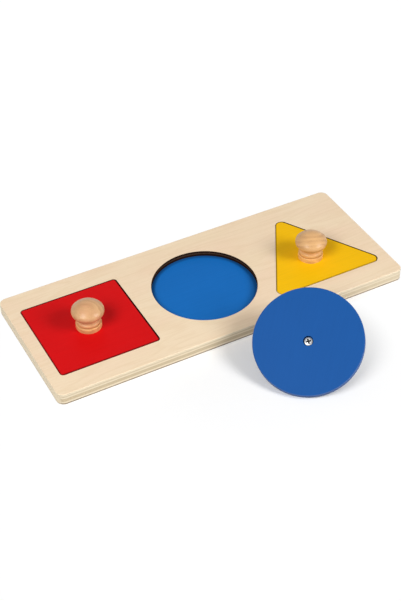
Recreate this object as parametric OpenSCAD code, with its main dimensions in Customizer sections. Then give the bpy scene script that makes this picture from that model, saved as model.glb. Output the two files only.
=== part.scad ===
// Peg puzzle: a plywood board with a square, a round and a three-cornered recess, and three painted
// shapes that drop into them and lift out by turned knobs. The square and the triangle are seated.
// The disc lies on the table in front of the board, knob down, resting on its rim and its knob.
// The origin is the centre of the board's underside, X runs along the board and Z points up.

/* [Board] */
// Thickness of the lower plywood sheet
base_t = 5; // [3:0.5:10]
// Thickness of the upper plywood sheet, which has the three cut-outs
frame_t = 5; // [3:0.5:10]
// Mean width of the bare wood in front of and behind the deepest cut-out
side_margin = 18.1; // [8:0.1:40]
// Bare wood between the left end and the square cut-out
left_margin = 10.2; // [8:0.1:40]
// Bare wood between the square and the round cut-out
square_web = 16.5; // [4:0.1:40]
// Lengthwise step from the round cut-out to the triangle's left corner
triangle_web = 3.5; // [2:0.1:40]
// Bare wood between the triangle's right corner and the right end
right_margin = 10; // [8:0.1:40]
// Step of the three recesses from the board's middle line towards the front
recess_step = 0.5; // [0:0.1:2]
// Radius of the board's four upright corners
board_corner_r = 6; // [3:0.5:8]
// Radius of the eased edges at the board's top and underside
board_ease_r = 0.6; // [0.4:0.1:2]

/* [Shapes] */
// Side of the red square
square_side = 81.3; // [50:0.1:110]
// Corner radius of the red square
square_corner_r = 2.6; // [1:0.1:10]
// Diameter of the blue disc
disc_d = 83.6; // [60:0.1:110]
// Width of the yellow triangle over its rounded corners
triangle_w = 92.3; // [70:0.1:110]
// Depth of the yellow triangle over its rounded corners
triangle_d = 81.6; // [60:0.1:100]
// Corner radius of the yellow triangle
triangle_corner_r = 5; // [2:0.1:10]
// Thickness of the three shapes
shape_t = 5; // [4.5:0.5:10]
// Radius of the eased edges of the three shapes
shape_ease_r = 0.5; // [0.2:0.1:1]
// Gap between a shape and the wall of its cut-out
fit_gap = 0.6; // [0.3:0.1:1.5]
// Share of that gap by which the seated square and triangle lie to the left of their recesses' middles
seat_share = 0.5; // [0:0.1:0.7]
// Step of the triangle's knob from the middle of the triangle's depth towards its flat side
triangle_knob_step = 10; // [4:0.5:14]

/* [Coloured floors] */
// Thickness of the coloured layer on the floor of each recess
floor_t = 0.2; // [0.1:0.1:0.5]
// Gap between the coloured layer and the wall of the cut-out
floor_gap = 0.1; // [0.05:0.05:0.3]

/* [Knobs] */
// Height of a knob
knob_h = 23; // [22:0.5:26]
// Diameter of a knob's head
head_d = 25.6; // [24:0.1:34]
// Height of the widest ring of the head
head_ring_h = 15.2; // [14.5:0.1:15.5]
// Radius of the rounded rim of the head
head_rim_r = 4.2; // [3:0.1:4.4]
// Share of the domes' radius at which they would run into the rounded rim without an edge
dome_share = 0.985; // [0.95:0.005:0.995]
// Height of the underside's lowest point, on the axis
underside_h = 8.2; // [7.8:0.1:9]
// Diameter of the neck at its waist
neck_d = 15.8; // [12:0.1:18]
// Radius of the hollow round the neck
neck_cove_r = 3; // [2:0.1:4]
// Depth of the hollow in the neck
neck_hollow = 0.4; // [0.2:0.1:0.6]
// Diameter of the base ring
base_ring_d = 20.2; // [19:0.1:26]
// Height of the base ring
base_ring_h = 3.9; // [2:0.1:5]
// Radius of the base ring's eased upper edge
base_ring_ease_r = 0.6; // [0.2:0.1:1.2]
// Diameter of the bead above the base ring
bead_d = 19; // [18:0.1:24]
// Radius of the bead's round
bead_r = 1.9; // [1:0.1:2.5]

/* [Screws] */
// Diameter of the screw's shank
shank_d = 3; // [2:0.1:4]
// Length of the screw under its head
screw_l = 14; // [8:0.5:18]
// Length of the screw's pointed tip
screw_tip_l = 3; // [1:0.5:4]
// Diameter of the screw's head
screw_head_d = 6.6; // [5:0.1:8]
// Height of the screw's head
screw_head_h = 1.4; // [1:0.1:2]
// Radius of the domed face of the screw's head
screw_dome_r = 9; // [5:0.5:20]
// Depth of the head's face below the underside of a shape
screw_sink = 1.1; // [0.2:0.1:2]
// Gap round the screw's head in its counterbore
head_gap = 0.5; // [0.2:0.1:1]
// Gap round the shank in its hole
shank_gap = 0.1; // [0.05:0.05:0.3]
// Room beyond the screw's tip in the knob
pilot_room = 1; // [0.5:0.5:2]
// Length of each slot of the cross recess
cross_l = 3.8; // [2.5:0.1:4.5]
// Width of each slot of the cross recess
cross_w = 0.9; // [0.5:0.1:1.2]
// Depth of the cross recess below the middle of the head's face
cross_depth = 0.9; // [0.4:0.1:0.9]
// Turn of the cross recess about the screw's axis
cross_turn = 60; // [0:5:85]

/* [Disc on the table] */
// Clear gap between the board's front edge and the nearest point of the disc
loose_gap = 9.7; // [2:0.1:60]
// Step of the disc's centre to the right of the round recess
loose_step = 28.1; // [-60:0.1:60]
// Turn about the upright axis of the way the disc's raised side points, from the X axis
loose_turn = 45; // [10:1:80]

/* [Hidden] */

$fn = 96;

// Overrun of every cut past the face that it opens, and of every joined solid into its neighbour
over = 1;

// Rise of a rounded corner over the straight edges beside it, so that the two cross
corner_lap = 0.005;

// Sizes of the three cut-outs
square_cut = square_side + 2 * fit_gap;
round_cut = disc_d + 2 * fit_gap;
triangle_cut = triangle_w + 2 * fit_gap;

// Corner centres of the three-cornered shape, about the middle of its width and depth
triangle_span = triangle_w - 2 * triangle_corner_r;
triangle_rise = triangle_d - 2 * triangle_corner_r;
triangle_corners = [
    [-triangle_span / 2, -triangle_rise / 2],
    [triangle_span / 2, -triangle_rise / 2],
    [0, triangle_rise / 2]
];
triangle_cut_depth = triangle_d + 2 * fit_gap;

// The board's size follows from its cut-outs and the bare wood round them
board_l = left_margin + square_cut + square_web + round_cut + triangle_web + triangle_cut + right_margin;
board_w = max(square_cut, round_cut, triangle_cut_depth) + 2 * side_margin;
left_end = -board_l / 2;
square_x = left_end + left_margin + square_cut / 2;
round_x = left_end + left_margin + square_cut + square_web + round_cut / 2;
triangle_x = -left_end - right_margin - triangle_cut / 2;
recess_y = -recess_step;
seat_z = base_t + floor_t;
seat_shift = seat_share * fit_gap;

// Corner centres of the board and of the square
board_corners = rectangle_corners(board_l - 2 * board_corner_r, board_w - 2 * board_corner_r);
square_corners = rectangle_corners(square_side - 2 * square_corner_r, square_side - 2 * square_corner_r);

// Places along a knob's axis, above the shape that it stands on
rim_centre = [head_d / 2 - head_rim_r, head_ring_h];
crown_r = dome_share * touching_r(knob_h - head_ring_h);
crown_centre_h = knob_h - crown_r;
underside_r = dome_share * touching_r(head_ring_h - underside_h);
underside_centre_h = underside_h + underside_r;
bead_centre = [bead_d / 2 - bead_r, base_ring_h + bead_r];
neck_top_h = underside_centre_h - sqrt(pow(underside_r, 2) - pow(neck_d / 2, 2));
neck_mid_h = (bead_centre[1] + bead_r + neck_top_h) / 2;

// The screw's seat in a shape, and its hole in the knob
counterbore_d = screw_head_d + 2 * head_gap;
counterbore_depth = screw_sink + screw_head_h;
shank_hole_d = shank_d + 2 * shank_gap;
pilot_depth = counterbore_depth + screw_l - shape_t + pilot_room;

// Tilt at which the loose disc rests: the table touches the disc's eased edge and the knob's crown,
// or the head's rim where the crown ends before the table's slope
edge_centre = [disc_d / 2 - shape_ease_r, shape_t - shape_ease_r];
crown_tilt = table_tilt([0, shape_t + crown_centre_h], crown_r);
rim_tilt = table_tilt([rim_centre[0], shape_t + rim_centre[1]], head_rim_r);
crown_end = atan2(rim_centre[0], rim_centre[1] - crown_centre_h);
loose_tilt = crown_tilt < crown_end ? crown_tilt : rim_tilt;
loose_lift = shape_ease_r + edge_centre[0] * sin(loose_tilt) + edge_centre[1] * cos(loose_tilt);

// Reach of the lying disc towards the board from the centre of its upturned face
loose_side_share = sin(loose_turn);
loose_reach = disc_d / 2 * sqrt(1 - pow(sin(loose_tilt) * loose_side_share, 2))
    + shape_t * sin(loose_tilt) * loose_side_share;
loose_x = round_x + loose_step;
loose_y = -board_w / 2 - loose_gap - loose_reach;

// Corners of a rectangle about the origin, in turn
function rectangle_corners(length, width) = [
    [-length / 2, -width / 2],
    [length / 2, -width / 2],
    [length / 2, width / 2],
    [-length / 2, width / 2]
];

// Radius of a dome on the knob's axis that runs into the rounded rim without an edge, for the dome's
// reach above or below the widest ring
function touching_r(reach) =
    (pow(rim_centre[0], 2) + pow(reach, 2) - pow(head_rim_r, 2)) / (2 * (reach - head_rim_r));

// Distance from the knob's axis at which a dome meets the rounded rim
function meeting_r(dome_centre_h) =
    rim_centre[0] * (1 + head_rim_r / norm(rim_centre - [0, dome_centre_h]));

// Slope of the line that rests on the disc's eased edge and on a round of the knob's head
function table_tilt(centre, radius) =
    let (away = [edge_centre[0] - centre[0], centre[1] - edge_centre[1]])
    atan2(away[1], away[0]) + asin((radius - shape_ease_r) / norm(away));

// Half section of a sheet's edge: square inside, with its upper and lower outer corners eased
module edge_section(reach, height, top_r, bottom_r) {
    difference() {
        square([reach, height]);
        if (top_r > 0)
            translate([reach, height])
                rotate(180)
                    corner_waste(top_r);
        if (bottom_r > 0)
            translate([reach, 0])
                rotate(90)
                    corner_waste(bottom_r);
    }
}

// What an easing takes off a square corner at the origin
module corner_waste(radius) {
    difference() {
        translate([-over, -over])
            square(radius + over);
        translate([radius, radius])
            circle(radius);
    }
}

// Flat outline that goes round a list of corner centres at a given radius
module round_outline(corners, radius) {
    polygon(corners);
    for (i = [0 : len(corners) - 1]) {
        side = corners[(i + 1) % len(corners)] - corners[i];
        translate(corners[i])
            circle(radius + corner_lap);
        translate(corners[i])
            rotate(atan2(side[1], side[0]))
                translate([0, -radius])
                    square([norm(side), radius + over]);
    }
}

// Sheet that goes round a list of corner centres, with its upper and lower edges eased
module eased_sheet(corners, radius, height, top_r, bottom_r) {
    linear_extrude(height)
        polygon(corners);
    for (i = [0 : len(corners) - 1]) {
        next_corner = corners[(i + 1) % len(corners)];
        side = next_corner - corners[i];
        translate(corners[i])
            rotate_extrude()
                edge_section(radius + corner_lap, height, top_r, bottom_r);
        translate(next_corner)
            rotate([90, 0, atan2(side[1], side[0]) - 90])
                linear_extrude(norm(side))
                    translate([-over, 0])
                        edge_section(radius + over, height, top_r, bottom_r);
    }
}

// Counterbored hole for the screw, from the underside of a shape
module screw_hole() {
    translate([0, 0, -over])
        cylinder(h = counterbore_depth + over, d = counterbore_d);
    cylinder(h = shape_t + over, d = shank_hole_d);
}

// Places of the three shapes: the centre of the underside, knob upwards
module at_square() {
    translate([square_x - seat_shift, recess_y, seat_z])
        children();
}

module at_triangle() {
    translate([triangle_x - seat_shift, recess_y, seat_z])
        children();
}

module at_triangle_knob() {
    at_triangle()
        translate([0, -triangle_knob_step, 0])
            children();
}

module at_table() {
    translate([loose_x, loose_y, loose_lift])
        rotate(loose_turn)
            rotate([0, 180 - loose_tilt, 0])
                children();
}

// Half section of a turned knob, from its axis outwards
module knob_section() {
    // Base ring with its upper edge eased
    edge_section(base_ring_d / 2, base_ring_h, base_ring_ease_r, 0);
    // Bead
    translate([0, base_ring_h])
        square([bead_centre[0], 2 * bead_r]);
    translate(bead_centre)
        circle(bead_r);
    // Hollow neck
    difference() {
        translate([0, bead_centre[1]])
            square([neck_d / 2 + neck_hollow, head_ring_h - bead_centre[1]]);
        translate([neck_d / 2 + neck_cove_r, neck_mid_h])
            circle(neck_cove_r);
    }
    // Head: a rounded rim between two domes
    intersection() {
        union() {
            translate(rim_centre)
                circle(head_rim_r);
            translate([0, head_ring_h])
                square([meeting_r(crown_centre_h), knob_h - head_ring_h]);
            translate([0, underside_h])
                square([meeting_r(underside_centre_h), head_ring_h - underside_h]);
        }
        translate([0, crown_centre_h])
            circle(crown_r);
        translate([0, underside_centre_h])
            circle(underside_r);
    }
}

// Turned knob that stands on a shape, with the pilot hole for its screw
module knob() {
    translate([0, 0, shape_t])
        difference() {
            rotate_extrude()
                knob_section();
            translate([0, 0, -over])
                cylinder(h = pilot_depth + over, d = shank_hole_d);
        }
}

// Screw with a domed head and a cross recess, seated in the counterbore of a shape
module screw() {
    translate([0, 0, counterbore_depth])
        difference() {
            union() {
                cylinder(h = screw_l - screw_tip_l, d = shank_d);
                translate([0, 0, screw_l - screw_tip_l])
                    cylinder(h = screw_tip_l, d1 = shank_d, d2 = 0);
                intersection() {
                    translate([0, 0, -screw_head_h])
                        cylinder(h = screw_head_h, d = screw_head_d);
                    translate([0, 0, screw_dome_r - screw_head_h])
                        sphere(screw_dome_r);
                }
            }
            for (turn = [0, 90])
                rotate(cross_turn + turn)
                    translate([-cross_l / 2, -cross_w / 2, -screw_head_h - over])
                        cube([cross_l, cross_w, cross_depth + over]);
        }
}

module base_plate() {
    color([0.93, 0.83, 0.68])
        eased_sheet(board_corners, board_corner_r, base_t, 0, board_ease_r);
}

module frame_plate() {
    color([0.95, 0.85, 0.72])
        translate([0, 0, base_t])
            difference() {
                eased_sheet(board_corners, board_corner_r, frame_t, board_ease_r, 0);
                translate([0, recess_y, -over]) {
                    translate([square_x, 0, 0])
                        linear_extrude(frame_t + 2 * over)
                            round_outline(square_corners, square_corner_r + fit_gap);
                    translate([round_x, 0, 0])
                        cylinder(h = frame_t + 2 * over, d = round_cut);
                    translate([triangle_x, 0, 0])
                        linear_extrude(frame_t + 2 * over)
                            round_outline(triangle_corners, triangle_corner_r + fit_gap);
                }
            }
}

module red_floor() {
    color([0.84, 0.1, 0.12])
        translate([square_x, recess_y, base_t])
            linear_extrude(floor_t)
                round_outline(square_corners, square_corner_r + fit_gap - floor_gap);
}

module blue_floor() {
    color([0.12, 0.42, 0.72])
        translate([round_x, recess_y, base_t])
            cylinder(h = floor_t, d = round_cut - 2 * floor_gap);
}

module yellow_floor() {
    color([0.97, 0.75, 0.08])
        translate([triangle_x, recess_y, base_t])
            linear_extrude(floor_t)
                round_outline(triangle_corners, triangle_corner_r + fit_gap - floor_gap);
}

module red_square() {
    color([0.84, 0.1, 0.12])
        at_square()
            difference() {
                eased_sheet(square_corners, square_corner_r, shape_t, shape_ease_r, shape_ease_r);
                screw_hole();
            }
}

module red_knob() {
    color([0.87, 0.7, 0.5])
        at_square()
            knob();
}

module red_screw() {
    color([0.8, 0.8, 0.8])
        at_square()
            screw();
}

module blue_disc() {
    color([0.15, 0.37, 0.67])
        at_table()
            difference() {
                rotate_extrude()
                    edge_section(disc_d / 2, shape_t, shape_ease_r, shape_ease_r);
                screw_hole();
            }
}

module blue_knob() {
    color([0.87, 0.7, 0.5])
        at_table()
            knob();
}

module blue_screw() {
    color([0.8, 0.8, 0.8])
        at_table()
            screw();
}

module yellow_triangle() {
    color([0.97, 0.75, 0.08])
        difference() {
            at_triangle()
                eased_sheet(triangle_corners, triangle_corner_r, shape_t, shape_ease_r, shape_ease_r);
            at_triangle_knob()
                screw_hole();
        }
}

module yellow_knob() {
    color([0.87, 0.7, 0.5])
        at_triangle_knob()
            knob();
}

module yellow_screw() {
    color([0.8, 0.8, 0.8])
        at_triangle_knob()
            screw();
}

base_plate();
frame_plate();
red_floor();
blue_floor();
yellow_floor();
red_square();
red_knob();
red_screw();
blue_disc();
blue_knob();
blue_screw();
yellow_triangle();
yellow_knob();
yellow_screw();
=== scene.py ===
"""Dresses the solids of a wooden peg puzzle in plywood, paint, beech and steel, and sets its stage."""

import math

import bpy
from bpy.props import FloatProperty, FloatVectorProperty, PointerProperty
from mathutils import Matrix, Vector


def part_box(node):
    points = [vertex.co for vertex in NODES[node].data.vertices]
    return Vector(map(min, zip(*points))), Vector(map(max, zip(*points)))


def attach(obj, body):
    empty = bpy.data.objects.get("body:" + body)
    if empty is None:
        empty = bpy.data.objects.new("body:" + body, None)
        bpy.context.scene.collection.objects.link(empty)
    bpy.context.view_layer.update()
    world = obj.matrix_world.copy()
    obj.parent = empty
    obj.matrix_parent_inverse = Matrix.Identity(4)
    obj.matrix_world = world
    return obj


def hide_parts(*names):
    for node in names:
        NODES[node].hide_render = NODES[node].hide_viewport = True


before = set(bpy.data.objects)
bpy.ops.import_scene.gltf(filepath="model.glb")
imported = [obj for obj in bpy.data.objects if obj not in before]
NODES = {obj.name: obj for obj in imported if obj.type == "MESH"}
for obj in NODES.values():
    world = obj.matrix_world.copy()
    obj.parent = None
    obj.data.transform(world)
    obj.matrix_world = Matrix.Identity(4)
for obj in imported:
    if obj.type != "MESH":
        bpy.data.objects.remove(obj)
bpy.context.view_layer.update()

bl_info = {
    "name": "Peg Puzzle",
    "version": (1, 0, 0),
    "blender": (4, 5, 0),
    "location": "View3D > Sidebar > Peg Puzzle",
    "description": "Plywood, paint, beech and steel for a wooden peg puzzle",
    "category": "Object",
}

MM = 0.001
UP = Vector((0, 0, 1))
WHITE = (1, 1, 1, 1)
BLACK = (0, 0, 0, 1)


def mm(*lengths):
    """Millimetres as metres."""
    return tuple(length * MM for length in lengths)


# Sizes of one grain of a pattern: along the wood's grain, across it and through it
BOARD_FLECK = mm(5, 0.45, 0.45)
BOARD_PATCH = mm(70, 28, 28)
BOARD_FIBRE_LENGTH = 30 * MM
PLY_WOBBLE = mm(20, 20, 4)
PORE = mm(0.6, 0.6, 0.9)
SOOT = mm(0.8, 0.8, 6)
PAINT_GRAIN = mm(35, 1.4, 1.4)
PAINT_CLOUD = mm(30, 30, 30)
PAINT_PLY = mm(20, 20, 1.2)
RING_SWAY = mm(40, 12, 12)
RING_PATCH = mm(20, 9, 9)
KNOB_FIBRE = mm(12, 0.5, 0.5)
KNOB_PATCH = mm(12, 6, 6)
STEEL_MOTTLE = mm(0.9, 0.9, 0.9)
STEEL_SCRATCH = mm(2, 0.08, 0.4)

# Layers of a noise
PLAIN = 1.0
MIDDLING = 2.0
FINE = 3.0

# Noise levels at which a pattern starts and is full
BOARD_FLECK_SPAN = (0.62, 0.74)
BOARD_PATCH_SPAN = (0.42, 0.66)
BOARD_FIBRE_SPAN = (0.35, 0.7)
PORE_SPAN = (0.5, 0.75)
KNOB_FLECK_SPAN = (0.63, 0.72)
KNOB_FIBRE_SPAN = (0.3, 0.75)
KNOB_PATCH_SPAN = (0.4, 0.65)
RING_PATCH_SPAN = (0.35, 0.65)
UPPER_SPAN = (0.4, 0.7)
EVEN_SPAN = (0.3, 0.7)

# Contour lines in the board's figure, the swirl of its hills, and the part of the lines' wave that shows
FIGURE_LINES = 52.0
FIGURE_SWIRL = 0.5
FIGURE_SPAN = (-0.2, 1.0)

# Heights in the board, in millimetres: where a ply starts, is full, fades and ends, where the painted shade on
# the lower arris starts and is full, and how far the plies wander
LOWER_DARK_PLY = (3.0, 3.3, 5.9, 6.2)
UPPER_DARK_PLY = (7.3, 7.5, 8.3, 8.5)
UPPER_DARK_STRENGTH = 0.75
PALE_PLY = (7.2, 7.5, 8.3, 8.6)
ARRIS_SHADE_SPAN = (1.75, 1.25)
PLY_WANDER = 0.5

# Where the board's long edges start to pale to the right, and where the cut-outs end along and across it
PALE_RIGHT = mm(50, 150)
CUT_OUTS_ALONG = mm(143, 142)
CUT_OUTS_ACROSS = mm(46, 45)

# Parts of a normal at which a surface starts to count as an end, a side, a cut or an eased edge with a
# painted highlight, and at which it counts in full
END_SPAN = (0.6, 0.8)
SIDE_SPAN = (0.75, 0.45)
CUT_SPAN = (0.99, 0.85)
HIGHLIGHT_EDGE_SPAN = (0.98, 0.9)

# Where a rim of painted shade starts and is full, as parts of its width (on the round floor the rim is soot
# and painted shade), and a burnt screw hole, as distances from the shape's middle; the light that burnt wood
# keeps;
# the radius of the triangle's corners
SHADE_RIM_SPAN = (1.4, 0.6)
HOLE_SPAN = mm(8, 6)
BURNT_LIFT = 0.006
TRIANGLE_CORNER = 5 * MM

# Year rings: how far they sway, how late wood gathers in a year and where it ends, and the faintest ring;
# a fleck's width as a part of its length
SWAY_YEARS = 2.6
LATE_POWER = 1.6
LATE_SPAN = (1.0, 0.7)
FAINT_RING = 0.3
FLECK_SLIMNESS = 0.16

# Grain of each knob: its pith across and above the shape's underside, its turn in degrees, the strength of
# its rings and of its pinkish patches, and the shares of the painted bounce light, a paler foot colour, on its
# head and on its foot
KNOB_GRAINS = {
    "red": {"pith": mm(30, -12), "turn": -40, "figure": 1.0, "pink": 1.0, "bounce_share": (0.0, 0.5)},
    "blue": {"pith": mm(10, -10), "turn": 0, "figure": 1.0, "pink": 0.7, "bounce_share": (0.0, 0.5)},
    "yellow": {"pith": mm(-26, -4), "turn": -24, "figure": 1.1, "pink": 0.2, "bounce_share": (0.35, 0.9)},
}

# Heights above the shape's underside at which the painted bounce light on a knob's foot starts and is full
KNOB_FOOT_BOUNCE = mm(13, 9)

# Depths below a screw's face at which painted shade in the cross recess starts and is full, and its ease
# beyond the ends of the cross
RECESS_SHADE_DEPTHS = mm(0.22, 0.35)
RECESS_SHADE_EASE = 0.1 * MM

# Screw mesh: room above the cross cutter; steps round the screw, along its dome and round its rim; the angle
# of an edge that stays sharp; the normal of a face that looks up; the gap that is welded
CUTTER_ABOVE = 0.5 * MM
SPIN_STEPS = 72
DOME_STEPS = 8
RIM_STEPS = 6
SHARP_ANGLE = math.radians(32)
FACING_UP = 0.9
WELD_DISTANCE = 1e-6

# Heights of the bumps, and how far each pattern stands out or sinks in as a part of that
BOARD_RELIEF = 0.05 * MM
BOARD_FLECK_RELIEF = -0.6
PORE_RELIEF = -0.8
SOOT_RELIEF = 0.8
PAINT_RELIEF = 0.02 * MM
PAINT_GRAIN_RELIEF = 0.6
KNOB_RELIEF = 0.02 * MM
KNOB_FLECK_RELIEF = -0.7
STEEL_RELIEF = 0.01 * MM
SCRATCH_RELIEF = 0.5

# Table below the puzzle, and the parts of the two reaches at which its shadows start to fade
TABLE_SIZE = 8
TABLE_DROP = 0.02 * MM
SHADOW_FADE = 0.55
CONTACT_FADE = 0.3

# Width of the camera's sensor, in millimetres
SENSOR_WIDTH = 36


def colour_property(name, description, default):
    """A colour that is written as it shows on a screen."""
    return FloatVectorProperty(
        name=name,
        description=description,
        default=default,
        size=3,
        min=0,
        max=1,
        subtype="COLOR_GAMMA",
    )


def length_property(name, description, default):
    """A length in metres."""
    return FloatProperty(name=name, description=description, default=default, unit="LENGTH", precision=5)


def place_property(name, description, default):
    """A place in metres."""
    return FloatVectorProperty(
        name=name,
        description=description,
        default=default,
        size=3,
        subtype="XYZ",
        unit="LENGTH",
    )


def share_property(name, description, default):
    """A share between nothing and one."""
    return FloatProperty(name=name, description=description, default=default, min=0, max=1, subtype="FACTOR")


def angle_property(name, description, degrees):
    """An angle that is written in degrees."""
    return FloatProperty(name=name, description=description, default=math.radians(degrees), subtype="ANGLE")


def power_property(name, description, default):
    """A lamp's power in watts."""
    return FloatProperty(name=name, description=description, default=default, unit="POWER")


class PuzzleBoardLook(bpy.types.PropertyGroup):
    """Colours and grain of the two plywood sheets."""

    veneer: colour_property("Veneer", "Colour of the face veneer", (0.972, 0.884, 0.758))
    veneer_dark: colour_property("Veneer lines", "Colour of the veneer's darker lines", (0.91, 0.8, 0.65))
    veneer_flush: colour_property("Veneer flush", "Colour of its pinkish patches", (0.965, 0.858, 0.738))
    ply_light: colour_property("Light ply", "Colour of plies that run along an edge", (0.965, 0.905, 0.79))
    ply_dark: colour_property("Dark ply", "Colour of plies that end at an edge", (0.83, 0.76, 0.63))
    # Painted shade: the colour of the shade along the lower arris, where the board meets the table.
    arris_shade: colour_property("Grime", "Colour of the handled lower arris", (0.42, 0.33, 0.24))
    char: colour_property("Char", "Colour of the burnt walls of the cut-outs", (0.17, 0.105, 0.075))
    char_ply: colour_property("Char ply", "Colour of the paler ply in the burnt walls", (0.38, 0.28, 0.22))
    figure_length: length_property("Figure length", "Length of the veneer's figure along the grain", 0.17)
    figure_width: length_property("Figure width", "Width of the veneer's figure across the grain", 0.021)
    fibre_width: length_property("Fibre width", "Width of one fibre line", 0.0007)
    line_share: share_property("Lines", "Strength of the figure's lines", 0.2)
    fibre_share: share_property("Fibres", "Strength of the fibres on the faces", 0.3)
    fleck_share: share_property("Flecks", "Strength of the flecks on the faces", 0.25)
    pore_share: share_property("Pores", "Strength of the pores in the dark plies", 0.45)
    edge_fibre_share: share_property("Edge fibres", "Strength of the fibres on the edges", 0.25)
    end_ply_share: share_property("End plies", "Strength of the dark plies on the two ends", 0.15)
    right_share: share_property("Right end", "Share of light ply at the edges' right end", 0.5)
    # Strength of the painted shade along the lower arris, and its share on the two ends.
    arris_shade_share: share_property("Grime share", "Strength of the grime on the long edges", 0.85)
    end_arris_shade_share: share_property("End grime", "Share of that grime on the two ends", 0.25)
    pale_ply_share: share_property("Pale ply", "Strength of the paler ply in the burnt walls", 0.7)
    soot_share: share_property("Soot", "Strength of the soot on the burnt walls", 0.5)
    roughness: share_property("Roughness", "Roughness of the lacquered veneer", 0.48)
    grain_rough: share_property("Grain roughness", "Roughness that the grain adds", 0.12)
    edge_rough: share_property("Edge roughness", "Roughness that the sawn edges add", 0.15)
    burnt_rough: share_property("Burnt roughness", "Roughness that burning adds", 0.2)
    shine: share_property("Shine", "Strength of the lacquer's reflections", 0.5)


class PuzzlePaintLook(bpy.types.PropertyGroup):
    """Colours of the painted shapes and of the recess floors."""

    red: colour_property("Red", "Colour of the square", (0.86, 0.055, 0.07))
    blue: colour_property("Blue", "Colour of the disc", (0.1, 0.34, 0.625))
    yellow: colour_property("Yellow", "Colour of the triangle", (1.0, 0.775, 0.05))
    floor_blue: colour_property("Floor blue", "Colour of the round recess's floor", (0.085, 0.43, 0.75))
    peel_size: length_property("Peel size", "Size of the ripples in the paint film", 0.0018)
    grain_share: share_property("Grain", "Strength of the wood grain under the paint", 0.18)
    cloud_share: share_property("Clouds", "Strength of the cloudy deeper paint", 0.4)
    deep_share: share_property("Deep paint", "Share of the colour left where the paint is deepest", 0.82)
    # Share of the paint's colour kept in the painted highlight on eased edges; the rest is white.
    highlight_share: share_property("Thin paint", "Share of the colour left where the paint is worn thin", 0.7)
    burnt_share: share_property("Burnt paint", "Share of the colour left where the wood is burnt", 0.18)
    low_char: share_property("Low char", "Part of the burnt share left in the paler plies", 0.8)
    roughness: share_property("Roughness", "Roughness of the paint", 0.45)
    peel_smooth: share_property("Peel smoothness", "Roughness that the ripples take away", 0.04)
    peel_rough: share_property("Peel roughness", "Roughness that the ripples add", 0.05)
    cut_rough: share_property("Cut roughness", "Roughness that the cut sides add", 0.12)
    shine: share_property("Shine", "Strength of the paint's reflections", 0.1)
    # Char on the cut sides; these shares also set the strength of the rim of painted shade along each outline.
    square_char_and_rim_shade: share_property("Square char", "Share of burnt wood on the sides of the square", 0.9)
    triangle_char_and_rim_shade: share_property("Triangle char", "Share of burnt wood on the sides of the triangle", 0.6)
    # Width of the rim of painted shade along the outlines of the square and triangle.
    shade_rim_width: length_property("Rim width", "Width of the burnt rim of the square and triangle", 0.0007)
    # Soot and painted shade on the round floor along its wall: strength and width.
    floor_soot_and_shade: share_property("Floor soot", "Share of soot on the round floor, next to its wall", 0.6)
    soot_and_shade_width: length_property("Soot width", "Width of the soot on the round floor", 0.0025)
    loose_char: share_property("Loose char", "Share of burnt wood on the side of the disc", 0.05)
    # Strength of the painted highlight on the disc's eased edge.
    loose_edge_highlight: share_property("Loose wear", "Share of thin, pale paint on the disc's side", 0.25)


class PuzzleKnobLook(bpy.types.PropertyGroup):
    """Colours and grain of the turned knobs."""

    beech: colour_property("Beech", "Colour of the early wood", (0.885, 0.7, 0.51))
    ring: colour_property("Ring", "Colour of the late wood", (0.73, 0.535, 0.36))
    flush: colour_property("Flush", "Colour of the pinkish patches", (0.868, 0.65, 0.485))
    fleck: colour_property("Fleck", "Colour of the short dark flecks", (0.6, 0.41, 0.27))
    # Painted bounce light: a paler, warmer colour towards each knob's foot.
    foot_bounce_light: colour_property("Foot", "Colour of the paler foot", (0.98, 0.78, 0.49))
    ring_gap: length_property("Ring gap", "Distance between two year rings", 0.0042)
    fleck_length: length_property("Fleck length", "Length of one fleck along the grain", 0.0022)
    fibre_share: share_property("Fibres", "Strength of the fibres", 0.28)
    fleck_share: share_property("Flecks", "Strength of the flecks", 0.35)
    roughness: share_property("Roughness", "Roughness of the lacquer", 0.27)
    tone_rough: share_property("Ring roughness", "Roughness that rings and fibres add", 0.1)
    shine: share_property("Shine", "Strength of the wood's reflections", 0.2)
    coat: share_property("Coat", "Weight of the clear lacquer", 0.05)
    coat_roughness: share_property("Coat roughness", "Roughness of the clear lacquer", 0.2)


class PuzzleScrewLook(bpy.types.PropertyGroup):
    """Sizes and colour of the screws that hold the knobs."""

    head_height: length_property("Head height", "Height of the head", 0.0014)
    dome_radius: length_property("Dome radius", "Radius of the head's domed face", 0.009)
    rim_radius: length_property("Rim radius", "Radius of the head's rounded rim", 0.0006)
    shank_radius: length_property("Shank radius", "Radius of the shank", 0.0015)
    tip_length: length_property("Tip length", "Length of the pointed tip", 0.003)
    cross_length: length_property("Cross length", "Length of each slot of the cross recess", 0.0043)
    cross_width: length_property("Cross width", "Width of each slot at the face", 0.0013)
    cross_depth: length_property("Cross depth", "Depth of the cross recess", 0.0009)
    cross_taper: share_property("Cross taper", "Size of the recess's bottom against its mouth", 0.9)
    cross_turn: angle_property("Cross turn", "Turn of the cross recess", 60)
    steel: colour_property("Steel", "Colour of the plated steel", (0.84, 0.84, 0.84))
    dull_share: share_property("Dull steel", "Share of the colour left where the plating is dull", 0.72)
    # Painted shade in the cross recess.
    recess_shade_share: share_property("Dirt", "Share of the colour left in the dirty cross recess", 0.04)
    metal: share_property("Metal", "Share of metal in the plating's reflections", 0.5)
    shine: share_property("Shine", "Strength of the plating's other reflections", 0.5)
    roughness: share_property("Roughness", "Roughness of the plating", 0.3)
    scratch_rough: share_property("Scratch roughness", "Roughness that the scratches add", 0.15)


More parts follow.
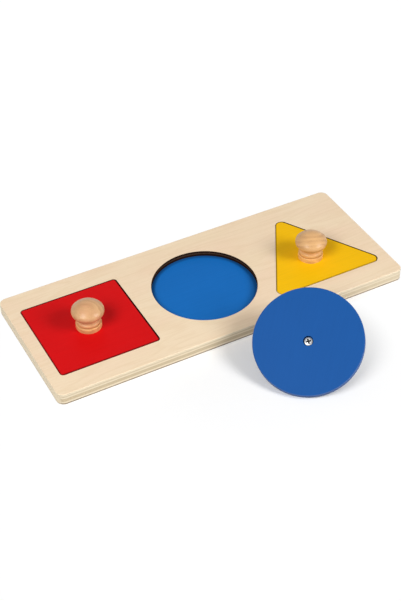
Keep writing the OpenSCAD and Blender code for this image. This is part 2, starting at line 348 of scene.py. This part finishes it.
class PuzzleStageLook(bpy.types.PropertyGroup):
    """Camera, lamps and floor."""

    target: place_property("Target", "Point that the camera looks at", (-0.004903, -0.004863, -0.0009))
    distance: length_property("Distance", "Distance from the camera to its target", 1.037933)
    azimuth: angle_property("Azimuth", "Way round of the camera", -27.2729)
    elevation: angle_property("Elevation", "Height of the camera", 41.0427)
    roll: angle_property("Roll", "Turn of the picture", -1.0256)
    lens: FloatProperty(
        name="Lens",
        description="Focal length of the lens",
        default=78.094,
        subtype="DISTANCE_CAMERA",
    )
    left_lamp: place_property("Left lamp", "Place of the lamp on the left", (-1.32, -0.64, 1.44))
    right_lamp: place_property("Right lamp", "Place of the lamp on the right", (1.1, -1.4, 1.28))
    lamp_size: length_property("Lamp size", "Side of each soft lamp", 0.9)
    left_power: power_property("Left power", "Power of the left lamp", 27)
    right_power: power_property("Right power", "Power of the right lamp", 29.2)
    sky: share_property("Sky", "Strength of the even light from all round", 0.15)
    floor: colour_property("Floor", "Colour of the table as the camera sees it", (1.0,) * 3)
    floor_bounce: colour_property("Floor bounce", "Colour of the table as it lights the puzzle", (0.8,) * 3)
    floor_roughness: share_property("Floor roughness", "Roughness of the table", 0.9)
    floor_shine: share_property("Floor shine", "Strength of the table's reflections", 0.1)
    shadow_reach: length_property("Shadow reach", "Radius of the table's part with the disc's shadow", 0.11)
    shadow_step: place_property("Shadow step", "Step from the disc to that part's middle", (-0.032, 0.018, 0))
    contact_reach: length_property("Contact reach", "Width of the strip with the board's shadow", 0.006)
    near_lift: share_property("Near lift", "Light added to the table in those shadows", 0.008)


class Finish:
    """One material and the nodes that make it, from plain steps."""

    def __init__(self, name):
        self.material = bpy.data.materials.new(name)
        self.material.use_nodes = True
        self.tree = self.material.node_tree
        self.shader = self.tree.nodes["Principled BSDF"]
        self.place = self.add("ShaderNodeTexCoord").outputs["Object"]
        self.normal = self.add("ShaderNodeNewGeometry").outputs["True Normal"]

    def add(self, kind, feeds=None, **settings):
        """A node with its settings made and its inputs fed."""
        node = self.tree.nodes.new(kind)
        for key, value in settings.items():
            setattr(node, key, value)
        for key, value in (feeds or {}).items():
            self.feed(node.inputs[key], value)
        return node

    def feed(self, socket, value):
        """Links a socket to an output, or sets its value."""
        if isinstance(value, bpy.types.NodeSocket):
            self.tree.links.new(value, socket)
        else:
            socket.default_value = value

    def give(self, name, value):
        """Feeds one of the shader's own inputs."""
        self.feed(self.shader.inputs[name], value)

    def math(self, operation, *values):
        """The result of one operation on numbers and outputs."""
        return self.add("ShaderNodeMath", dict(enumerate(values)), operation=operation).outputs[0]

    def times(self, first, *others):
        """The product of numbers and outputs."""
        for other in others:
            first = self.math("MULTIPLY", first, other)
        return first

    def plus(self, value, share, base):
        """A share of a value on top of a base."""
        return self.math("MULTIPLY_ADD", value, share, base)

    def radius(self, first, second):
        """The length of two sides at right angles."""
        squares = (self.math("POWER", side, 2.0) for side in (first, second))
        return self.math("SQRT", self.math("ADD", *squares))

    def parts(self, vector):
        """The three parts of a vector."""
        return self.add("ShaderNodeSeparateXYZ", {"Vector": vector}).outputs

    def pair(self, operation, first, second):
        """A number from two vectors."""
        return self.add("ShaderNodeVectorMath", {0: first, 1: second}, operation=operation).outputs["Value"]

    def distance(self, point):
        """How far a place is from a point."""
        return self.pair("DISTANCE", self.place, point)

    def lean(self, pose):
        """How level the surface lies in a piece's own frame: one on its faces, nothing on its sides."""
        return self.math("ABSOLUTE", self.pair("DOT_PRODUCT", self.normal, pose.to_3x3() @ UP))

    def carry(self, vector, **frame_parts):
        """A vector as it is counted in another frame."""
        feeds = {"Vector": vector, **frame_parts}
        return self.add("ShaderNodeMapping", feeds, vector_type="TEXTURE").outputs[0]

    def local(self, pose):
        """The place in a piece's own frame."""
        return self.carry(self.place, Location=pose.translation, Rotation=pose.to_euler())

    def noise(self, vector, size, detail=MIDDLING, distortion=0.0):
        """Soft noise with grains of a size."""
        grains = self.carry(vector, Scale=size)
        feeds = {"Vector": grains, "Scale": 1.0, "Detail": detail, "Distortion": distortion}
        return self.add("ShaderNodeTexNoise", feeds).outputs["Fac"]

    def span(self, value, low, high, start=0.0, end=1.0):
        """A value carried from one range to another, held at its ends."""
        feeds = {"Value": value, "From Min": low, "From Max": high, "To Min": start, "To Max": end}
        return self.add("ShaderNodeMapRange", feeds, clamp=True).outputs["Result"]

    def band(self, value, start, full, fade, end, strength=1.0):
        """A strength between two bounds of a value, eased at both."""
        return self.times(self.span(value, start, full, 0.0, strength), self.span(value, end, fade))

    def mix(self, share, first, second):
        """A share of the second colour over the first."""
        node = self.add("ShaderNodeMix", data_type="RGBA")
        self.feed(node.inputs["Factor"], share)
        self.feed(node.inputs[6], first)
        self.feed(node.inputs[7], second)
        return node.outputs[2]

    def bump(self, height, distance):
        """Raises the surface by a height, in steps of a distance."""
        feeds = {"Height": height, "Distance": distance}
        self.give("Normal", self.add("ShaderNodeBump", feeds).outputs["Normal"])

    def dress(self, *objects):
        """Puts this material on every slot of the objects."""
        for item in objects:
            if not item.material_slots:
                item.data.materials.append(self.material)
            for slot in item.material_slots:
                slot.material = self.material


def linear(colour):
    """A screen colour as the renderer's light, with full cover."""
    return tuple(c / 12.92 if c <= 0.04045 else ((c + 0.055) / 1.055) ** 2.4 for c in colour) + (1.0,)


def shade(light, share, lift=0.0):
    """A share of a colour's light, with the same lift in every part."""
    return tuple(c * share + lift for c in light[:3]) + (1.0,)


def plywood_finish(look):
    """Pale plywood: figured faces, banded edges with painted shade along the lower arris, and burnt cut-outs.
    """
    made = Finish("Pale_Plywood")
    x, y, z = made.parts(made.place)
    normal = made.parts(made.normal)
    dark_veneer = linear(look.veneer_dark)

    # Face veneer: contour lines of long hills, fine fibres, short flecks and pinkish patches
    hill_size = (look.figure_length, look.figure_width, look.figure_width)
    hills = made.noise(made.place, hill_size, distortion=FIGURE_SWIRL)
    lines = made.span(made.math("SINE", made.times(hills, FIGURE_LINES)), *FIGURE_SPAN)
    fibre = made.noise(made.place, (BOARD_FIBRE_LENGTH, look.fibre_width, look.fibre_width), FINE)
    fibres = made.span(fibre, *BOARD_FIBRE_SPAN)
    flecks = made.span(made.noise(made.place, BOARD_FLECK, PLAIN), *BOARD_FLECK_SPAN)
    patches = made.span(made.noise(made.place, BOARD_PATCH), *BOARD_PATCH_SPAN)
    grain = made.plus(lines, look.line_share, made.times(fibres, look.fibre_share))
    grain = made.plus(flecks, look.fleck_share, grain)
    face = made.mix(patches, linear(look.veneer), linear(look.veneer_flush))
    face = made.mix(grain, face, dark_veneer)

    # Edges: light plies run along, dark plies end there; on the two ends it is the other way round
    height = made.plus(made.noise(made.place, PLY_WOBBLE), PLY_WANDER, made.times(z, 1 / MM))
    upper = made.band(height, *UPPER_DARK_PLY, UPPER_DARK_STRENGTH)
    dark = made.math("ADD", made.band(height, *LOWER_DARK_PLY), upper)
    end = made.span(made.math("ABSOLUTE", normal["X"]), *END_SPAN)
    swap = made.times(end, made.plus(dark, 1 + look.end_ply_share, -look.end_ply_share))
    dark = made.math("SUBTRACT", dark, swap)
    pores = made.span(made.noise(made.place, PORE), *PORE_SPAN)
    edge = made.mix(dark, linear(look.ply_light), linear(look.ply_dark))
    edge = made.mix(made.times(pores, dark, look.pore_share), edge, dark_veneer)
    edge = made.mix(made.times(fibres, look.edge_fibre_share), edge, dark_veneer)
    edge = made.mix(made.span(x, *PALE_RIGHT, 0.0, look.right_share), edge, linear(look.ply_light))
    # Painted shade along the lower arris, where the board meets the table; weaker on the two ends.
    arris_shade = made.times(made.span(height, *ARRIS_SHADE_SPAN), look.arris_shade_share)
    arris_shade = made.times(arris_shade, made.span(end, 0.0, 1.0, 1.0, look.end_arris_shade_share))
    edge = made.mix(arris_shade, edge, linear(look.arris_shade))

    # Cut-outs: burnt brown, with a paler ply in the middle of the upper sheet
    side = made.span(made.math("ABSOLUTE", normal["Z"]), *SIDE_SPAN)
    soot = made.noise(made.place, SOOT, FINE)
    pale = made.times(made.band(height, *PALE_PLY), look.pale_ply_share)
    burnt = made.mix(pale, linear(look.char), linear(look.char_ply))
    burnt = made.mix(made.times(made.span(soot, *UPPER_SPAN), look.soot_share), burnt, linear(look.char))
    inside = made.times(made.span(made.math("ABSOLUTE", x), *CUT_OUTS_ALONG), side)
    inside = made.times(made.span(made.math("ABSOLUTE", y), *CUT_OUTS_ACROSS), inside)

    made.give("Base Color", made.mix(inside, made.mix(side, face, edge), burnt))
    made.give("Specular IOR Level", made.span(inside, 0.0, 1.0, look.shine, 0.0))
    rough = made.plus(grain, look.grain_rough, look.roughness)
    rough = made.plus(side, look.edge_rough, rough)
    made.give("Roughness", made.plus(inside, look.burnt_rough, rough))
    relief = made.plus(flecks, BOARD_FLECK_RELIEF, fibre)
    relief = made.plus(made.times(pores, side), PORE_RELIEF, relief)
    made.bump(made.plus(made.times(soot, inside), SOOT_RELIEF, relief), BOARD_RELIEF)
    return made


def floor_depth(made):
    """How far a place on the round recess's floor is from its outline."""
    low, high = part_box("blue_floor")
    return made.math("SUBTRACT", (high.x - low.x) / 2, made.distance((low + high) / 2))


def square_depth(made):
    """How far a place on the square is from its outline."""
    low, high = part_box("red_square")
    middle, place = (low + high) / 2, made.parts(made.place)
    aside = made.math("ABSOLUTE", made.math("SUBTRACT", place["X"], middle.x))
    ahead = made.math("ABSOLUTE", made.math("SUBTRACT", place["Y"], middle.y))
    return made.math("SUBTRACT", (high.x - low.x) / 2, made.math("MAXIMUM", aside, ahead))


def triangle_depth(made):
    """How far a place on the triangle is from its outline, which runs at one radius round three corners."""
    low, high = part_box("yellow_triangle")
    place = made.parts(made.place)
    aside = made.math("ABSOLUTE", made.math("SUBTRACT", place["X"], (low.x + high.x) / 2))
    half_w = (high.x - low.x) / 2 - TRIANGLE_CORNER
    slope = Vector((high.y - low.y - 2 * TRIANGLE_CORNER, half_w)).normalized()
    across = made.times(made.math("SUBTRACT", aside, half_w), slope.x)
    across = made.plus(made.math("SUBTRACT", place["Y"], low.y + TRIANGLE_CORNER), slope.y, across)
    front = made.math("SUBTRACT", place["Y"], low.y)
    return made.math("MINIMUM", made.math("SUBTRACT", TRIANGLE_CORNER, across), front)


def paint_finish(name, colour, look, pose, char=0.0, edge_highlight=0.0, depth=None, rim=0.0):
    """Satin paint over plywood, burnt on cut sides and in the screw hole, with a rim of painted shade along
    the outline (soot and painted shade on the round floor) and a painted highlight on eased edges.
    """
    made = Finish(name)
    local = made.local(pose)
    peel = made.noise(local, (look.peel_size,) * 3)
    grain = made.noise(local, PAINT_GRAIN)
    cloud = made.noise(local, PAINT_CLOUD)
    plies = made.noise(local, PAINT_PLY)
    lean = made.lean(pose)
    cut = made.span(lean, *CUT_SPAN)
    # Painted shade: a rim along the outline in the colour of burnt paint, standing for the shade in the gap
    # round a seated shape; on the round floor it is soot and painted shade.
    if depth:
        start, full = SHADE_RIM_SPAN
        cut = made.math("MAXIMUM", cut, made.span(depth(made), rim * start, rim * full))
    place = made.parts(local)
    hole = made.span(made.radius(place["X"], place["Y"]), *HOLE_SPAN)

    paint = linear(colour)
    highlight_paint = shade(paint, look.highlight_share, 1 - look.highlight_share)
    burnt = shade(paint, look.burnt_share, BURNT_LIFT)
    tone = made.plus(made.span(grain, *UPPER_SPAN), look.grain_share, made.times(cloud, look.cloud_share))
    coat = made.mix(tone, paint, shade(paint, look.deep_share))
    # Painted highlight: paler paint on eased edges, where the edge catches the light.
    coat = made.mix(made.times(made.span(lean, *HIGHLIGHT_EDGE_SPAN), edge_highlight), coat, highlight_paint)
    burn = made.math("MAXIMUM", hole, made.span(plies, *EVEN_SPAN, char * look.low_char, char))
    burn = made.times(cut, burn)
    made.give("Base Color", made.mix(burn, coat, burnt))
    made.give("Specular IOR Level", made.span(burn, 0.0, 1.0, look.shine, 0.0))
    rough = made.span(peel, *EVEN_SPAN, look.roughness - look.peel_smooth, look.roughness + look.peel_rough)
    made.give("Roughness", made.plus(cut, look.cut_rough, rough))
    made.bump(made.plus(grain, PAINT_GRAIN_RELIEF, peel), PAINT_RELIEF)
    return made


def beech_finish(name, look, pose, pith, turn, figure, pink, bounce_share):
    """Lacquered beech with year rings round a distant pith, short dark flecks and a paler foot of painted
    bounce light.
    """
    made = Finish(name)
    local = made.local(pose @ Matrix.Rotation(math.radians(turn), 4, "Z"))
    place = made.parts(local)
    sway = made.noise(local, RING_SWAY)
    away = made.radius(made.math("SUBTRACT", place["Y"], pith[0]), made.math("SUBTRACT", place["Z"], pith[1]))
    year = made.math("FRACT", made.plus(sway, SWAY_YEARS, made.math("DIVIDE", away, look.ring_gap)))
    late = made.times(made.math("POWER", year, LATE_POWER), made.span(year, *LATE_SPAN))
    strength = made.span(made.noise(local, RING_PATCH, PLAIN), *RING_PATCH_SPAN, FAINT_RING, 1.0)
    late = made.times(late, strength, figure)
    fibre = made.noise(local, KNOB_FIBRE, FINE)
    fleck_width = look.fleck_length * FLECK_SLIMNESS
    fleck_size = (look.fleck_length, fleck_width, fleck_width)
    flecks = made.span(made.noise(local, fleck_size, PLAIN), *KNOB_FLECK_SPAN)
    tone = made.plus(made.span(fibre, *KNOB_FIBRE_SPAN), look.fibre_share, late)
    patches = made.span(made.noise(local, KNOB_PATCH), *KNOB_PATCH_SPAN)
    colour = made.mix(made.times(patches, pink), linear(look.beech), linear(look.flush))
    # Painted bounce light: paler, warmer colour towards the foot, from the shape below.
    colour = made.mix(made.span(place["Z"], *KNOB_FOOT_BOUNCE, *bounce_share), colour, linear(look.foot_bounce_light))
    colour = made.mix(tone, colour, linear(look.ring))
    made.give("Base Color", made.mix(made.times(flecks, look.fleck_share), colour, linear(look.fleck)))
    made.give("Roughness", made.plus(tone, look.tone_rough, look.roughness))
    made.give("Specular IOR Level", look.shine)
    made.give("Coat Weight", look.coat)
    made.give("Coat Roughness", look.coat_roughness)
    made.bump(made.plus(flecks, KNOB_FLECK_RELIEF, fibre), KNOB_RELIEF)
    return made


def steel_finish(name, look, pose, face):
    """Plated steel, bright on the face and dark with painted shade in the cross recess."""
    made = Finish(name)
    local = made.local(pose)
    place = made.parts(local)
    mottle = made.noise(local, STEEL_MOTTLE, FINE)
    scratch = made.noise(local, STEEL_SCRATCH)
    steel = linear(look.steel)
    reach = look.cross_length / 2
    # Painted shade: dark steel without reflections in the cross recess, below the face.
    sunk = made.span(place["Z"], *(face + depth for depth in RECESS_SHADE_DEPTHS))
    sunk = made.times(sunk, made.span(made.radius(place["X"], place["Y"]), reach + RECESS_SHADE_EASE, reach))
    colour = made.mix(made.span(mottle, *UPPER_SPAN), steel, shade(steel, look.dull_share))
    made.give("Base Color", made.mix(sunk, colour, shade(steel, look.recess_shade_share)))
    made.give("Metallic", made.span(sunk, 0.0, 1.0, look.metal, 0.0))
    made.give("Specular IOR Level", made.span(sunk, 0.0, 1.0, look.shine, 0.0))
    roughest = look.roughness + look.scratch_rough
    made.give("Roughness", made.span(scratch, *EVEN_SPAN, look.roughness, roughest))
    made.bump(made.plus(scratch, SCRATCH_RELIEF, mottle), STEEL_RELIEF)
    return made


def shape_thickness():
    """How thick each of the three shapes is."""
    low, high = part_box("red_square")
    return high.z - low.z


def flat_pose(knob):
    """Where a seated shape's underside centre is, under its knob."""
    low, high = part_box(knob)
    return Matrix.Translation(((low.x + high.x) / 2, (low.y + high.y) / 2, low.z - shape_thickness()))


def lying_pose():
    """Where the loose disc's underside centre is, with its turn: Z points into the knob, X runs downhill."""
    disc = NODES["blue_disc"]
    low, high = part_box("blue_disc")
    up = max(disc.data.polygons, key=lambda face: face.area).normal.normalized()
    up = up if up.z > 0 else -up
    down_hill = (up.z * up - UP).normalized()
    z_axis = -up
    turn = Matrix((down_hill, z_axis.cross(down_hill), z_axis)).transposed().to_4x4()
    return Matrix.Translation((low + high) / 2 + up * shape_thickness() / 2) @ turn


def poses():
    """The three shapes' poses by colour."""
    return {"red": flat_pose("red_knob"), "blue": lying_pose(), "yellow": flat_pose("yellow_knob")}


def clear_selection():
    """Leaves edit mode and selects nothing."""
    if bpy.context.object and bpy.context.object.mode != "OBJECT":
        bpy.ops.object.mode_set(mode="OBJECT")
    bpy.ops.object.select_all(action="DESELECT")


def pick(item):
    """Selects one object alone and makes it active."""
    clear_selection()
    item.select_set(True)
    bpy.context.view_layer.objects.active = item


def trace_profile(name, points):
    """A vertex extruded along a half section and spun round the Z axis."""
    clear_selection()
    bpy.ops.mesh.primitive_plane_add(size=MM, location=(0, 0, 0))
    piece = bpy.context.object
    piece.name = piece.data.name = name
    bpy.ops.object.mode_set(mode="EDIT")
    bpy.ops.mesh.select_all(action="SELECT")
    bpy.ops.mesh.merge(type="CENTER")
    bpy.ops.transform.translate(value=(points[0][0], 0, points[0][1]))
    for before, after in zip(points, points[1:]):
        step = (after[0] - before[0], 0, after[1] - before[1])
        bpy.ops.mesh.extrude_region_move(TRANSFORM_OT_translate={"value": step})
    bpy.ops.mesh.select_all(action="SELECT")
    bpy.ops.mesh.spin(steps=SPIN_STEPS, angle=math.tau, center=(0, 0, 0), axis=(0, 0, 1))
    bpy.ops.mesh.select_all(action="SELECT")
    bpy.ops.mesh.remove_doubles(threshold=WELD_DISTANCE)
    bpy.ops.mesh.normals_make_consistent(inside=False)
    bpy.ops.object.mode_set(mode="OBJECT")
    return piece


def arc(centre, radius, start, end, steps):
    """Points of an arc in a half section, from one angle to another."""
    angles = [start + (end - start) * i / steps for i in range(steps + 1)]
    return [(centre[0] + radius * math.cos(a), centre[1] + radius * math.sin(a)) for a in angles]


def screw_profile(look):
    """Half section of the screw in its shape's pose, from face to tip, and the face's height."""
    low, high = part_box("red_screw")
    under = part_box("red_square")[0].z
    head_r = (high.x - low.x) / 2
    face, tip = low.z - under, high.z - under
    seat = face + look.head_height
    rim, dome_r, shank_r = look.rim_radius, look.dome_radius, look.shank_radius
    edge = head_r - rim
    lean = math.asin(edge / dome_r)
    drop = dome_r * (1 - math.cos(lean))
    down = -math.pi / 2
    points = arc((0, face + dome_r), dome_r, down, down + lean, DOME_STEPS)
    points += arc((edge, face + drop + rim), rim, down + lean, 0, RIM_STEPS)[1:]
    points += [(head_r, seat), (shank_r, seat), (shank_r, tip - look.tip_length), (0, tip)]
    return points, face


def cross_cutters(look, face):
    """Two crossed wedges, narrower towards the bottom of the recess."""
    clear_selection()
    wedges = []
    for turn in (0, math.pi / 2):
        bpy.ops.mesh.primitive_cube_add(size=1, location=(0, 0, face + (look.cross_depth - CUTTER_ABOVE) / 2))
        wedge = bpy.context.object
        wedge.scale = (look.cross_length, look.cross_width, look.cross_depth + CUTTER_ABOVE)
        wedge.rotation_euler = (0, 0, look.cross_turn + turn)
        bpy.ops.object.transform_apply(location=True, rotation=True, scale=True)
        bpy.ops.object.mode_set(mode="EDIT")
        bpy.ops.mesh.select_mode(type="FACE")
        bpy.ops.mesh.select_all(action="DESELECT")
        bpy.ops.object.mode_set(mode="OBJECT")
        for side in wedge.data.polygons:
            side.select = side.normal.z > FACING_UP
        bpy.ops.object.mode_set(mode="EDIT")
        bpy.ops.transform.resize(value=(look.cross_taper, look.cross_taper, 1), center_override=(0, 0, 0))
        bpy.ops.object.mode_set(mode="OBJECT")
        wedges.append(wedge)
    return wedges


def model_screw(look):
    """The screw with its cross recess, in its shape's pose, and its face's height there."""
    points, face = screw_profile(look)
    screw = trace_profile("screw_model", points)
    for wedge in cross_cutters(look, face):
        pick(screw)
        cut = screw.modifiers.new("Cross", "BOOLEAN")
        cut.operation = "DIFFERENCE"
        cut.solver = "EXACT"
        cut.object = wedge
        bpy.ops.object.modifier_apply(modifier=cut.name)
        bpy.data.objects.remove(wedge)
    pick(screw)
    bpy.ops.object.shade_smooth_by_angle(angle=SHARP_ANGLE)
    return screw, face


class PUZZLE_OT_board(bpy.types.Operator):
    """Puts plywood on the board's two sheets"""

    bl_idname = "puzzle.board"
    bl_label = "Board"

    def execute(self, context):
        plywood_finish(context.scene.puzzle_board).dress(NODES["base_plate"], NODES["frame_plate"])
        return {"FINISHED"}


class PUZZLE_OT_floors(bpy.types.Operator):
    """Paints the floors of the three recesses"""

    bl_idname = "puzzle.floors"
    bl_label = "Recess floors"

    def execute(self, context):
        look = context.scene.puzzle_paint
        level = Matrix.Identity(4)
        # Soot and painted shade along the round floor's wall.
        sooty_and_shaded = {"char": look.floor_soot_and_shade, "depth": floor_depth, "rim": look.soot_and_shade_width}
        floors = (
            ("red_floor", look.red, {}),
            ("blue_floor", look.floor_blue, sooty_and_shaded),
            ("yellow_floor", look.yellow, {}),
        )
        for node, colour, edge in floors:
            paint_finish("Paint_" + node, colour, look, level, **edge).dress(NODES[node])
        return {"FINISHED"}


class PUZZLE_OT_shapes(bpy.types.Operator):
    """Paints the square, the disc and the triangle"""

    bl_idname = "puzzle.shapes"
    bl_label = "Painted shapes"

    def execute(self, context):
        look = context.scene.puzzle_paint
        pose = poses()
        # Rims of painted shade on the square and triangle; a painted highlight on the disc's eased edge.
        rim = look.shade_rim_width
        shapes = (
            ("red_square", "red", {"char": look.square_char_and_rim_shade, "depth": square_depth, "rim": rim}),
            ("blue_disc", "blue", {"char": look.loose_char, "edge_highlight": look.loose_edge_highlight}),
            ("yellow_triangle", "yellow", {"char": look.triangle_char_and_rim_shade, "depth": triangle_depth, "rim": rim}),
        )
        for node, key, edge in shapes:
            made = paint_finish("Paint_" + node, getattr(look, key), look, pose[key], **edge)
            made.dress(NODES[node])
        return {"FINISHED"}


class PUZZLE_OT_knobs(bpy.types.Operator):
    """Puts lacquered beech on the three knobs"""

    bl_idname = "puzzle.knobs"
    bl_label = "Knobs"

    def execute(self, context):
        look = context.scene.puzzle_knob
        pose = poses()
        for key, grain in KNOB_GRAINS.items():
            beech_finish("Beech_" + key, look, pose[key], **grain).dress(NODES[key + "_knob"])
        return {"FINISHED"}


class PUZZLE_OT_screws(bpy.types.Operator):
    """Models the screws with their cross recesses in place of the plain ones"""

    bl_idname = "puzzle.screws"
    bl_label = "Screws"

    def execute(self, context):
        look = context.scene.puzzle_screw
        model, face = model_screw(look)
        for key, pose in poses().items():
            pick(model)
            bpy.ops.object.duplicate()
            screw = context.object
            screw.name = screw.data.name = key + "_cross_screw"
            screw.matrix_world = pose
            bpy.ops.object.transform_apply(location=True, rotation=True, scale=True)
            steel_finish("Steel_" + key, look, pose, face).dress(screw)
            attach(screw, key + "_piece")
            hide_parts(key + "_screw")
        bpy.data.objects.remove(model)
        return {"FINISHED"}


class PUZZLE_OT_stage(bpy.types.Operator):
    """Sets the table, the lamps and the camera"""

    bl_idname = "puzzle.stage"
    bl_label = "Stage"

    def execute(self, context):
        look = context.scene.puzzle_stage
        clear_selection()
        self.lay_table(look)
        self.hang_lamps(context.scene, look)
        self.light_sky(context.scene, look)
        self.place_camera(context.scene, look)
        context.scene.view_settings.view_transform = "Standard"
        return {"FINISHED"}

    def lay_table(self, look):
        """A table that the camera sees as white, apart from the shadows of the disc and the board."""
        bpy.ops.mesh.primitive_plane_add(size=TABLE_SIZE, location=(0, 0, -TABLE_DROP))
        table = bpy.context.object
        table.name = "table"
        made = Finish("White_Table")
        made.give("Roughness", look.floor_roughness)
        made.give("Specular IOR Level", look.floor_shine)
        made.give("Emission Color", WHITE)
        ray = made.add("ShaderNodeLightPath").outputs
        seen = made.math("MAXIMUM", ray["Is Glossy Ray"], ray["Is Transmission Ray"])
        seen = made.math("MAXIMUM", ray["Is Camera Ray"], seen)
        colour = made.mix(seen, linear(look.floor_bounce), linear(look.floor))

        # How far a place is from the disc's shadow, and from the board's front and back edges
        low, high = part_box("blue_disc")
        middle = (low + high) / 2 + Vector(look.shadow_step)
        away = made.distance((middle.x, middle.y, 0))
        place = made.parts(made.place)
        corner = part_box("base_plate")[1]
        beside = made.math("SUBTRACT", made.math("ABSOLUTE", place["X"]), corner.x - look.contact_reach)
        ahead = made.math("SUBTRACT", made.math("ABSOLUTE", place["Y"]), corner.y)
        clear = made.math("MAXIMUM", beside, ahead)

        # Far from both it shines as white as the sky; near them the lamps light it
        far = made.math(
            "MINIMUM",
            made.span(away, SHADOW_FADE * look.shadow_reach, look.shadow_reach),
            made.span(clear, CONTACT_FADE * look.contact_reach, look.contact_reach),
        )
        far = made.times(seen, far)
        made.give("Base Color", made.mix(far, colour, BLACK))
        made.give("Emission Strength", made.times(seen, made.span(far, 0.0, 1.0, look.near_lift, 1.0)))
        made.dress(table)

    def hang_lamps(self, scene, look):
        """Two soft lamps in front of the puzzle, one on each side, turned to its middle."""
        lamps = (
            ("left_lamp", look.left_lamp, look.left_power),
            ("right_lamp", look.right_lamp, look.right_power),
        )
        for name, place, power in lamps:
            data = bpy.data.lights.new(name, "AREA")
            data.shape = "SQUARE"
            data.size = look.lamp_size
            data.energy = power
            lamp = bpy.data.objects.new(name, data)
            scene.collection.objects.link(lamp)
            lamp.location = place
            lamp.rotation_euler = (-Vector(place)).to_track_quat("-Z", "Y").to_euler()

    def light_sky(self, scene, look):
        """An even, weak light from all round that is white where it is seen or mirrored."""
        world = bpy.data.worlds.new("Studio")
        scene.world = world
        world.use_nodes = True
        tree = world.node_tree
        sky = tree.nodes["Background"]
        ray = tree.nodes.new("ShaderNodeLightPath")
        seen = ray.outputs["Is Camera Ray"]
        for kind in ("Is Glossy Ray", "Is Transmission Ray"):
            either = tree.nodes.new("ShaderNodeMath")
            either.operation = "MAXIMUM"
            tree.links.new(seen, either.inputs[0])
            tree.links.new(ray.outputs[kind], either.inputs[1])
            seen = either.outputs[0]
        strength = tree.nodes.new("ShaderNodeMapRange")
        strength.inputs["To Min"].default_value = look.sky
        strength.inputs["To Max"].default_value = 1.0
        tree.links.new(seen, strength.inputs["Value"])
        tree.links.new(strength.outputs["Result"], sky.inputs["Strength"])
        sky.inputs["Color"].default_value = WHITE

    def place_camera(self, scene, look):
        """The camera in front of the puzzle, a little to its left."""
        data = bpy.data.cameras.new("photo_camera")
        data.lens = look.lens
        data.sensor_width = SENSOR_WIDTH
        camera = bpy.data.objects.new("photo_camera", data)
        scene.collection.objects.link(camera)
        round_z = Matrix.Rotation(look.azimuth, 3, "Z")
        back = round_z @ Vector((0, -math.cos(look.elevation), math.sin(look.elevation)))
        right = UP.cross(back).normalized()
        up = back.cross(right)
        turned_right = math.cos(look.roll) * right + math.sin(look.roll) * up
        turned_up = math.cos(look.roll) * up - math.sin(look.roll) * right
        turn = Matrix((turned_right, turned_up, back)).transposed().to_4x4()
        camera.matrix_world = Matrix.Translation(Vector(look.target) + back * look.distance) @ turn
        scene.camera = camera


class PUZZLE_PT_looks(bpy.types.Panel):
    """Lists the puzzle's operators with their sizes and colours"""

    bl_idname = "PUZZLE_PT_looks"
    bl_label = "Peg Puzzle"
    bl_space_type = "VIEW_3D"
    bl_region_type = "UI"
    bl_category = "Peg Puzzle"

    def draw(self, context):
        for group, steps in PANEL_ROWS:
            box = self.layout.box()
            look = getattr(context.scene, group)
            for key in look.__annotations__:
                box.prop(look, key)
            for step in steps:
                box.operator("puzzle." + step)


LOOKS = {
    "puzzle_board": PuzzleBoardLook,
    "puzzle_paint": PuzzlePaintLook,
    "puzzle_knob": PuzzleKnobLook,
    "puzzle_screw": PuzzleScrewLook,
    "puzzle_stage": PuzzleStageLook,
}
PANEL_ROWS = (
    ("puzzle_board", ("board",)),
    ("puzzle_paint", ("floors", "shapes")),
    ("puzzle_knob", ("knobs",)),
    ("puzzle_screw", ("screws",)),
    ("puzzle_stage", ("stage",)),
)
CLASSES = (
    PUZZLE_OT_board,
    PUZZLE_OT_floors,
    PUZZLE_OT_shapes,
    PUZZLE_OT_knobs,
    PUZZLE_OT_screws,
    PUZZLE_OT_stage,
    PUZZLE_PT_looks,
)


def register():
    """Registers every class and puts the looks on the scene."""
    for key, group in LOOKS.items():
        bpy.utils.register_class(group)
        setattr(bpy.types.Scene, key, PointerProperty(type=group))
    for made in CLASSES:
        bpy.utils.register_class(made)


def unregister():
    """Takes the looks off the scene and unregisters every class."""
    for made in reversed(CLASSES):
        bpy.utils.unregister_class(made)
    for key, group in LOOKS.items():
        delattr(bpy.types.Scene, key)
        bpy.utils.unregister_class(group)


def main():
    """Registers the classes and makes every look."""
    register()
    for _, steps in PANEL_ROWS:
        for step in steps:
            getattr(bpy.ops.puzzle, step)()


if __name__ == "__main__":
    main()
